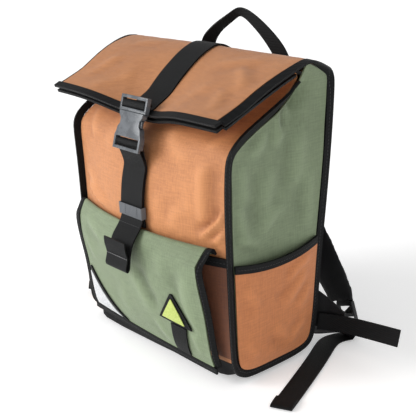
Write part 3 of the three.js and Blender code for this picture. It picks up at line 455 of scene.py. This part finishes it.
def press(piece, own, outward, spread, folds, amount=1.0, size=1.0, fade=8.0):
    """Moves the points of a piece along outward(place) by its folds and crumple."""
    near = neighbours(*own)
    mesh = piece.data
    # each point's fold height is kept as the attribute fold, which the canvas turns into painted highlight
    # and painted shade
    marks = mesh.attributes.new("fold", "FLOAT", "POINT")
    heights = []
    for vertex in mesh.vertices:
        place = vertex.co / MM
        distance = near.find_nearest(vertex.co, 0.03)[3]
        room = 1.0 if distance is None else smooth((distance / MM - 1.5) / fade)
        height = fold_height(folds, *spread(place)) + amount * crumple(place, size)
        heights.append(height * room)
        vertex.co += outward(place) * (height * room * MM)
    marks.data.foreach_set("value", heights)
    mesh.update()


# %% [markdown]
# A finished piece rides on the bag's one body and stands for its CAD node, which it hides.
# %% The finishing helper
made_pieces = []


def finish(piece, material, slot, *replaced, shade=40):
    piece.data.materials.clear()
    piece.data.materials.append(material)
    for face in piece.data.polygons:
        face.material_index = 0
    only(piece)
    bpy.ops.object.shade_smooth_by_angle(angle=math.radians(shade))
    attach(piece, "root")
    if replaced:
        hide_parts(*replaced)
    made_pieces.append(piece)
    print(f"{piece.name}: {sum(len(face.vertices) - 2 for face in piece.data.polygons)} triangles")
    return piece


# %% [markdown]
# ## The front panel
# One cloth runs from the base up the front and on into the lower layer of the folded top. It is pulled in
# at its sides, creased at the lower left where the pocket tugs at it, and falls in soft upright folds near
# its right seam. Its folds are given by across and up, and they push straight forward.
# %% Front panel
FORWARD = Vector((0, -1, 0))


def forward(_):
    return FORWARD


def front_spread(place):
    return place.x, place.z


front_folds = (
    Fold(-122, 198, -62, 175, 7.0, 5, 2), Fold(-124, 212, -88, 190, 2.6, 6, -2),
    Fold(-84, 174, -40, 167, 2.6, 4, 1), Fold(-122, 182, -96, 169, 2.4, 4, 0),
    Fold(106, 184, 103, 268, 5.0, 8, -2), Fold(84, 190, 80, 246, 1.6, 9, 3),
    Fold(131, 212, 104, 176, 4.6, 4.5, -3), Fold(126, 196, 96, 170, 3.0, 4, 2),
    Fold(131, 186, 114, 168, 3.2, 4, 0), Fold(72, 208, 58, 172, 2.0, 8, 2),
    Fold(34, 294, 84, 252, 2.0, 10, 3), Fold(128, 292, 98, 272, 3.0, 6, 2),
    Fold(-116, 294, -92, 252, 2.6, 7, -3), Fold(-46, 288, -66, 246, 1.6, 10, 2),
    Fold(36, 218, 44, 176, 1.4, 8, 2),
)
front_panel = cut("front_panel_cloth", "front_panel", 5.0)
press(front_panel, ["front_panel"], forward, front_spread, front_folds)
finish(front_panel, tan_front, "canvas_tan", "front_panel")

# %% [markdown]
# ## The folded top
# The upper layer lies over the crest and comes down to a lip, and its sides reach into their tapes. Its
# outward direction turns from up to forward, so a fold is pushed away from a line that runs through the
# middle of the bag. The cloth is free at its lip.
# %% Top flap
FLAP_REACH = 1.012


def off_the_middle(place):
    return Vector((0, place.y - 6, place.z - 236)).normalized()


def top_spread(place):
    return place.x, place.y + place.z


top_folds = (
    Fold(-96, 232, -56, 300, 2.2, 9, 4), Fold(-128, 250, -104, 330, 1.8, 8, 3),
    Fold(-40, 236, -66, 300, 1.6, 8, -3), Fold(44, 238, 84, 300, 1.8, 10, -4),
    Fold(118, 236, 96, 292, 2.3, 8, 4), Fold(128, 290, 84, 350, 2.0, 9, 4),
    Fold(40, 340, 120, 372, 1.4, 10, 0), Fold(-120, 360, -60, 380, 1.3, 9, 0),
)
top_flap = cut("top_flap_cloth", "top_flap", 5.0)
for vertex in top_flap.data.vertices:
    vertex.co.x *= FLAP_REACH
press(top_flap, ["top_flap"], off_the_middle, top_spread, top_folds, 0.8)
finish(top_flap, tan_top, "canvas_tan", "top_flap")

# %% [markdown]
# ## The sides
# Each gusset is drawn in at the top, where the folded tube pinches it into a deep tuck, and it hangs in
# long shallow swells below. The two sides are near mirrors of each other, but their small folds differ.
# The cloth is made a little larger than the CAD solid, so that its edges and corners lie under the tapes.
# %% Gussets


def sideways(side):
    return lambda place: Vector((side, 0, 0))


def side_spread(place):
    return place.y, place.z


gusset_folds = {
    1: (Fold(17, 346, 6, 276, -8.0, 6.5, 0), Fold(24, 342, 20, 300, -5.0, 8, 0),
        Fold(26, 322, -2, 262, 5.4, 8, 5), Fold(-10, 300, -42, 262, 3.2, 8, -4),
        Fold(-8, 252, -16, 172, 3.2, 12, 3), Fold(-54, 262, -44, 206, 2.6, 9, 2),
        Fold(-64, 222, -50, 160, 2.9, 7, -3), Fold(34, 290, 26, 206, 2.9, 11, -4),
        Fold(52, 240, 48, 156, 2.4, 8, 2), Fold(18, 202, -30, 168, 2.2, 8, 4),
        Fold(-62, 178, -22, 160, 2.6, 5, 1)),
    -1: (Fold(20, 320, -8, 260, 5.1, 8, 5), Fold(-14, 296, -44, 250, 3.2, 8, 4),
         Fold(-20, 246, -8, 168, 2.9, 12, -3), Fold(-58, 250, -40, 196, 2.6, 9, 2),
         Fold(36, 284, 20, 200, 2.9, 11, 4), Fold(50, 232, 54, 160, 2.2, 8, -2)),
}
for word, side in (("right", 1), ("left", -1)):
    gusset = cut(f"{word}_gusset_cloth", f"{word}_gusset", 5.0)
    for vertex in gusset.data.vertices:
        ahead, high = -vertex.co.y / MM, vertex.co.z / MM
        top_back = smooth((high - 318) / 20) * smooth((-ahead - 30) / 30)
        top_front = math.exp(-((high - 257) / 25) ** 2) * smooth((ahead - 30) / 22)
        vertex.co.y = vertex.co.y * 1.014 + (3 * top_back - 2.5 * top_front) * MM
        vertex.co.z = 0.17 + (vertex.co.z - 0.17) * 1.012 + 2.6 * top_front * MM
    press(gusset, [f"{word}_gusset"], sideways(side), side_spread, gusset_folds[side], 1.1, 1.0, 5.0)
    finish(gusset, olive_side, "canvas_olive", f"{word}_gusset")

# %% [markdown]
# ## Side pockets
# Each pocket is a tan panel sewn into the side seams, slack at its hem. A slack pocket creases from its
# upper corner towards the middle, and it bunches a little over the base.
# %% Side pockets
pocket_folds = {
    1: (Fold(50, 132, 4, 104, 3.0, 6, 4), Fold(42, 116, -8, 78, 2.4, 7, -3), Fold(54, 92, 22, 66, 2.4, 6, 2),
        Fold(-60, 122, -34, 92, 2.1, 7, 2), Fold(-20, 62, 18, 34, 2.4, 7, 2),
        Fold(-62, 54, -40, 26, 2.4, 6, -2), Fold(40, 54, 8, 24, 2.2, 6, 2)),
    -1: (Fold(50, 130, 2, 100, 2.8, 6, -4), Fold(44, 110, -4, 72, 2.4, 7, 3),
         Fold(-60, 118, -30, 86, 2.1, 7, -2), Fold(-24, 58, 14, 30, 2.4, 7, -2),
         Fold(-60, 50, -42, 24, 2.2, 6, 2)),
}
for word, side in (("right", 1), ("left", -1)):
    pocket = cut(f"{word}_pocket_cloth", f"{word}_side_pocket", 4.5)
    press(pocket, [f"{word}_side_pocket"], sideways(side), side_spread, pocket_folds[side], 0.9, 0.8, 7.0)
    finish(pocket, tan_side, "canvas_tan", f"{word}_side_pocket")

# %% [markdown]
# ## Front pocket and its flap
# The pocket is a flat tan panel that hides under the olive flap, and its tan is painted a dark brown as
# painted shade from the flap. The flap hangs free from its fold, stands off the pocket on the viewer's
# right, and has upright folds below the tail of the strap.
# %% Front pocket and flap
flap_folds = (
    Fold(8, 130, 40, 70, -3.6, 9, 0), Fold(-30, 96, -34, 44, 1.6, 12, 2), Fold(98, 150, 94, 44, 3.6, 11, 2),
    Fold(-108, 160, -62, 138, 2.2, 9, 2), Fold(-112, 128, -92, 98, 1.8, 8, 2),
    Fold(60, 158, 54, 120, 1.2, 10, 0), Fold(26, 62, 48, 30, 1.6, 7, 1), Fold(94, 66, 100, 32, 1.8, 7, 0),
)
pocket = cut("front_pocket_cloth", "front_pocket", 6.0)
press(pocket, ["front_pocket"], forward, front_spread, (), 0.7)
# the pocket's canvas is darkened to a dark brown as painted shade from the flap
finish(pocket, shaded_pocket_canvas, "canvas_tan", "front_pocket")
pocket_flap = cut("pocket_flap_cloth", "pocket_flap", 4.5)
press(pocket_flap, ["pocket_flap"], forward, front_spread, flap_folds, 0.9, 1.1, 9.0)
finish(pocket_flap, olive_flap, "canvas_olive", "pocket_flap")

# %% [markdown]
# ## Back panel, base and waist wedges
# The back panel is foam between two cloths, quilted by upright rows of stitches. The base is plain black
# cloth with a few dents, and the wedges are folded cloth that carries the waist webbing.
# %% Back, base and wedges
QUILT = (-96, -48, 0, 48, 96)


def quilting(place):
    row = min(abs(place.x - line) for line in QUILT)
    return -2.2 * math.exp(-(row / 3.2) ** 2)


back_panel = cut("back_panel_foam", "back_panel", 5.0)
press(back_panel, ["back_panel"], lambda place: Vector((0, 1, 0)), front_spread, (), 0.8)
for vertex in back_panel.data.vertices:
    if vertex.normal.y > 0.3:
        vertex.co.y += quilting(vertex.co / MM) * MM * smooth((vertex.co.z / MM - 40) / 20) * smooth(
            (312 - vertex.co.z / MM) / 20)
finish(back_panel, black_cloth, "cloth_black", "back_panel")
base_panel = cut("base_panel_cloth", "base_panel", 6.0)
press(base_panel, ["base_panel"], lambda place: Vector((0, -1, 0)) if place.z > 6 else Vector((0, 0, 0)),
      front_spread, (), 0.6)
finish(base_panel, black_cloth, "cloth_black", "base_panel")
for word, side in (("right", 1), ("left", -1)):
    wedge = cut(f"{word}_wedge_cloth", f"{word}_waist_wedge", 4.0)
    press(wedge, [f"{word}_waist_wedge"], sideways(side), side_spread, (), 0.6, 0.5, 6.0)
    finish(wedge, black_cloth, "cloth_black", f"{word}_waist_wedge")

# %% [markdown]
# ## Shoulder pads
# A pad is foam in a cloth sleeve. It is remeshed into even small faces and blown up a little by the cloth
# simulation, which rounds its edges as a stuffed pad's are. How far a point may move is capped, so that it
# stays clear of the back. Its foot is then drawn down to the bar of the lock that hangs from it.
# %% Shoulder pads
PAD_VOXEL, PAD_PRESSURE, PAD_MOST, FOOT_REACH = 3.6, 4.0, 1.5, 1.9


def puff(piece, voxel, pressure, most):
    """Remeshes a piece and runs twenty frames of cloth pressure on it, with the movement capped in mm."""
    add_modifier(piece, "REMESH", mode="VOXEL", voxel_size=voxel * MM)
    before = [vertex.co.copy() for vertex in piece.data.vertices]
    only(piece)
    cloth = piece.modifiers.new("puff", "CLOTH")
    cloth.settings.use_pressure = True
    cloth.settings.uniform_pressure_force = pressure
    cloth.settings.effector_weights.gravity = 0
    cloth.settings.quality = 5
    cloth.point_cache.frame_end = 20
    for step in range(1, 21):
        bpy.context.scene.frame_set(step)
    bpy.ops.object.modifier_apply(modifier=cloth.name)
    bpy.context.scene.frame_set(1)
    for vertex, start in zip(piece.data.vertices, before):
        moved = vertex.co - start
        if moved.length > most * MM:
            vertex.co = start + moved.normalized() * most * MM


def lock_bar(side):
    """The middle of a ladder lock's top bar in mm, the direction along the bar and the one up the pad."""
    across = Vector((-0.917 * side, 0.141, -0.372)).normalized()
    up = Vector((-0.358 * side, 0.048, 0.934)).normalized()
    return Vector((136.9 * side, 116.2, 41.6)), across, up


for word, side in (("right", 1), ("left", -1)):
    pad = cut(f"{word}_pad_sleeve", f"{word}_shoulder_pad", 8.0, rounds=0)
    add_modifier(pad, "DISPLACE", strength=-0.5 * MM, mid_level=0)
    puff(pad, PAD_VOXEL, PAD_PRESSURE, PAD_MOST)
    add_modifier(pad, "SUBSURF", levels=1, render_levels=1)
    bar, across, up = lock_bar(side)
    for vertex in pad.data.vertices:
        above = (vertex.co / MM - bar).dot(up)
        vertex.co -= up * (FOOT_REACH * MM * smooth(1 - above / 14))
    finish(pad, black_cloth, "cloth_black", f"{word}_shoulder_pad", shade=70)

# %% [markdown]
# ## Tapes and webbing
# Bindings and straps keep the CAD shape, because a flat strap is modelled directly. One level of subdivision
# rounds their bends, and the ribs come from the material. The tapes of the mouth are drawn out sideways, so
# that they meet the side tapes at the corners of the lip.
# %% Bindings
MOUTH_REACH = 1.034


def strap(name, node, material, slot):
    piece = cut(name, node, 7.0)
    finish(piece, material, slot, node, shade=50)
    return piece


bindings = [name for name in sorted(nodes) if name.endswith(("_binding", "_band", "_border"))]
for name in bindings:
    sewn = strap(f"{name}_tape", name, tape, "binding_black")
    if name.endswith("mouth_binding"):
        for vertex in sewn.data.vertices:
            vertex.co.x *= MOUTH_REACH

# %% [markdown]
# The ribs of a strap run across it, so each strap gets the webbing that is drawn for its own direction.
# %% Webbing
for name, material in (("top_strap", web_length), ("lower_strap", web_length), ("patch_webbing", web_length),
                       ("carry_handle", web_side), ("right_shoulder_webbing", web_length),
                       ("left_shoulder_webbing", web_length), ("right_waist_webbing", web_side),
                       ("left_waist_webbing", web_side)):
    strap(f"{name}_weave", name, material, "webbing_black")

# %% [markdown]
# A short web tab, sewn into the foot of each pad, loops round the top bar of the ladder lock and carries it.
# It is a strip bent round the bar, with its thickness given by a modifier.
# %% Web tabs
TAB_WIDE, TAB_THICK = 24.0, 1.2
TAB_TURNS = (0.4, 0.8, 1.2, 1.57, 1.94, 2.34, 2.74)
for word, side in (("right", 1), ("left", -1)):
    bar, across, up = lock_bar(side)
    out = across.cross(up).normalized()
    bend = [(3.3, 11), (3.3, 5), (3.3, 0)]
    bend += [(3.3 * math.cos(turn), -3.1 * math.sin(turn)) for turn in TAB_TURNS]
    bend += [(-3.3, 0), (-3.3, 5), (-3.3, 11)]
    points = [(bar + out * a + up * b + across * (share * TAB_WIDE)) * MM
              for a, b in bend for share in (-0.5, 0, 0.5)]
    faces = [(3 * i + j, 3 * i + j + 1, 3 * i + j + 4, 3 * i + j + 3)
             for i in range(len(bend) - 1) for j in (0, 1)]
    mesh = bpy.data.meshes.new(f"{word}_lock_tab")
    mesh.from_pydata(points, [], faces)
    tab = bpy.data.objects.new(f"{word}_lock_tab", mesh)
    bpy.context.scene.collection.objects.link(tab)
    add_modifier(tab, "SOLIDIFY", thickness=TAB_THICK * MM, offset=0)
    add_modifier(tab, "BEVEL", width=0.3 * MM, segments=2, limit_method="ANGLE", angle_limit=math.radians(50))
    only(tab)
    bpy.ops.object.mode_set(mode="EDIT")
    bpy.ops.mesh.select_all(action="SELECT")
    bpy.ops.mesh.normals_make_consistent(inside=False)
    bpy.ops.object.mode_set(mode="OBJECT")
    finish(tab, web_length, "webbing_black", shade=50)

# %% [markdown]
# ## Buckle, locks and keeper
# Moulded parts have rounded edges everywhere, because a mould can't fill a sharp corner. A bevel of under a
# millimetre catches the light along each edge and does more for the look than any texture.
# %% Hard pieces


def moulding(name, node, round_edge=0.55):
    """A CAD node's copy with flat faces dissolved and its edges rounded."""
    piece = cut(name, node, 60.0, rounds=0)
    only(piece)
    bpy.ops.object.mode_set(mode="EDIT")
    bpy.ops.mesh.select_all(action="SELECT")
    bpy.ops.mesh.dissolve_limited(angle_limit=math.radians(1))
    bpy.ops.object.mode_set(mode="OBJECT")
    add_modifier(piece, "BEVEL", width=round_edge * MM, segments=3, limit_method="ANGLE",
                 angle_limit=math.radians(30))
    return piece


for name in ("buckle_plug", "buckle_socket", "right_ladder_lock", "left_ladder_lock"):
    plastic = buckle_plastic if name.startswith("buckle") else lock_plastic
    finish(moulding(f"{name}_moulding", name, 0.8), plastic, "plastic_grey", name, shade=35)
finish(moulding("strap_keeper_elastic", "strap_keeper", 0.3), keeper_elastic, "keeper_grey", "strap_keeper")
finish(moulding("silver_corner", "reflective_corner", 0.25), silver_cloth, "reflective_white",
       "reflective_corner")
finish(moulding("bright_triangle", "hi_vis_triangle", 0.3), bright_vinyl, "hi_vis_yellow", "hi_vis_triangle")

# %% [markdown]
# ## Stitches
# Rows of stitches hold the bindings, the straps' box seams and the folded tail. A stitch is a short flat
# bead of a few faces. A row is a line of places in space. From each place a ray is cast at the piece it is
# sewn on, so the stitch lies on the real surface, and all stitches of a row are one mesh.
# %% The sewing helper
STITCH_THICK = 0.32


def sew(name, on, path, towards, material=thread_black, pitch=4.2, long=2.9):
    """Stitches along a path in mm, dropped onto one piece in the direction towards."""
    only(on)
    tree = BVHTree.FromObject(on, bpy.context.evaluated_depsgraph_get())
    heading = Vector(towards).normalized()
    places = []
    spare = 0.0
    for start, end in zip(path, path[1:]):
        start, end = Vector(start), Vector(end)
        run = (end - start).length
        while spare < run:
            places.append((start.lerp(end, spare / run), (end - start).normalized()))
            spare += pitch
        spare -= run
    points, faces = [], []
    for place, along in places:
        hit, normal, _, _ = tree.ray_cast((place - heading * 40) * MM, heading, 0.1)
        if hit is None:
            continue
        normal = -normal if normal.dot(heading) > 0 else normal
        along = (along - normal * along.dot(normal)).normalized()
        beside = normal.cross(along)
        start = len(points)
        for share, girth in ((-0.5, 0.35), (-0.3, 1), (0.3, 1), (0.5, 0.35)):
            middle = hit + along * (share * long * MM)
            for turn in range(6):
                angle = math.tau * turn / 6
                points.append(middle + (beside * math.cos(angle) + normal * (0.75 * math.sin(angle)))
                              * (STITCH_THICK * girth * MM))
        for ring in range(3):
            for turn in range(6):
                a, b = start + ring * 6 + turn, start + ring * 6 + (turn + 1) % 6
                faces.append((a, b, b + 6, a + 6))
        faces.append(tuple(start + turn for turn in range(6))[::-1])
        faces.append(tuple(start + 18 + turn for turn in range(6)))
    mesh = bpy.data.meshes.new(name)
    mesh.from_pydata(points, [], faces)
    row = bpy.data.objects.new(name, mesh)
    bpy.context.scene.collection.objects.link(row)
    only(row)
    bpy.ops.object.mode_set(mode="EDIT")
    bpy.ops.mesh.select_all(action="SELECT")
    bpy.ops.mesh.normals_make_consistent(inside=False)
    bpy.ops.object.mode_set(mode="OBJECT")
    return finish(row, material, "webbing_black", shade=60)


def piece_named(name):
    return next(piece for piece in made_pieces if piece.name == name)


def tape_middle(piece, facing, order, step, part=lambda place: True, aside=None):
    """Places in mm along the middle of a tape, or beside it, from its faces that look one way, in order."""
    shares = collections.defaultdict(list)
    for face in piece.data.polygons:
        place = face.center / MM
        if face.normal.dot(Vector(facing)) > 0.6 and part(place):
            shares[round(order(place) / step)].append(place)
    if aside:
        return [aside(shares[key]) for key in sorted(shares)]
    return [sum(shares[key], Vector()) / len(shares[key]) for key in sorted(shares)]


def opposite(facing):
    return tuple(-part for part in facing)


def turn_round(place):
    """The angle in degrees round the middle of a gusset, seen from the side, from straight down."""
    return math.degrees(math.atan2(place.y - 2, 170 - place.z))


# %% [markdown]
# Each tape is sewn down along its middle. A side tape runs round the whole side, so its row is put in order
# by the angle round the gusset's middle, and it has rows on its front and back faces too.
# %% Rows on the bindings
FRONT, BACK = (0, -1, 0), (0, 1, 0)
for word, side in (("right", 1), ("left", -1)):
    outwards = (side, 0, 0)
    for node in ("side_binding", "inner_binding"):
        seam = piece_named(f"{word}_{node}_tape")
        path = tape_middle(seam, outwards, turn_round, 4)
        sew(f"{word}_{node}_stitches", seam, path, opposite(outwards))
    seam = piece_named(f"{word}_side_binding_tape")
    sew(f"{word}_front_seam_stitches", seam, tape_middle(seam, FRONT, lambda place: place.z, 8,
                                                         lambda place: place.y < -40 and place.z < 280), BACK)
    sew(f"{word}_back_seam_stitches", seam, tape_middle(seam, BACK, lambda place: place.z, 8,
                                                        lambda place: place.y > 40), FRONT)
    hem = piece_named(f"{word}_side_pocket_binding_tape")
    sew(f"{word}_pocket_hem_stitches", hem, tape_middle(hem, outwards, lambda place: place.y, 8),
        opposite(outwards))
for node in ("pocket_flap_left_binding", "pocket_flap_right_binding"):
    seam = piece_named(f"{node}_tape")
    sew(f"{node}_stitches", seam, tape_middle(seam, FRONT, lambda place: place.z, 6), BACK)
for node in ("pocket_flap_bottom_binding", "upper_mouth_binding", "front_pocket_band", "corner_binding"):
    seam = piece_named(f"{node}_tape")
    sew(f"{node}_stitches", seam, tape_middle(seam, FRONT, lambda place: place.x, 8), BACK)

# %% [markdown]
# A pad has a row of stitches along each long edge, and the webbing below its lock has one down its middle.
# %% Rows on the pads and the shoulder webbing
for word, side in (("right", 1), ("left", -1)):
    pad = piece_named(f"{word}_pad_sleeve")
    for edge, inwards in ((min, 7), (max, -7)):
        path = tape_middle(pad, BACK, lambda place: place.z, 6, aside=lambda places: Vector(
            (edge(place.x for place in places) + inwards, places[0].y, places[0].z)))
        sew(f"{word}_pad_{edge.__name__}_stitches", pad, path, FRONT)
    foot = piece_named(f"{word}_shoulder_webbing_weave")
    path = tape_middle(foot, BACK, lambda place: place.z, 4)
    sew(f"{word}_webbing_stitches", foot, path[:12], FRONT)

# %% [markdown]
# The folded tail is sewn across with grey thread, the only thread that shows from afar. The strap's head is
# sewn down with a box of stitches, and the keeper is sewn into three channels.
# %% Rows on the straps and the keeper
tail = piece_named("lower_strap_weave")
sew("tail_stitches", tail, [(-19, -110, 139), (21, -110, 139)], (0, 1, 0), thread_grey, 3.4, 2.5)
sew("strap_foot_stitches", tail, [(-17, -110, 172), (17, -110, 172)], (0, 1, 0))
top = piece_named("top_strap_weave")
box_seam = [(-16, 66, 400), (16, 66, 400), (16, 50, 400), (-16, 50, 400), (-16, 66, 400)]
sew("strap_head_stitches", top, box_seam, (0, 0, -1))
keeper = piece_named("strap_keeper_elastic")
for across in (-9, 13):
    sew(f"keeper_stitches_{across + 9}", keeper, [(across, -110, 184), (across, -110, 200)], BACK, pitch=2.4,
        long=2.2)

# %% [markdown]
# ## Size of the scene
# The triangles of all made pieces are counted and printed.
# %% Count the triangles
total = sum(sum(len(face.vertices) - 2 for face in piece.data.polygons) for piece in made_pieces)
print("pieces:", len(made_pieces), "triangles:", total)
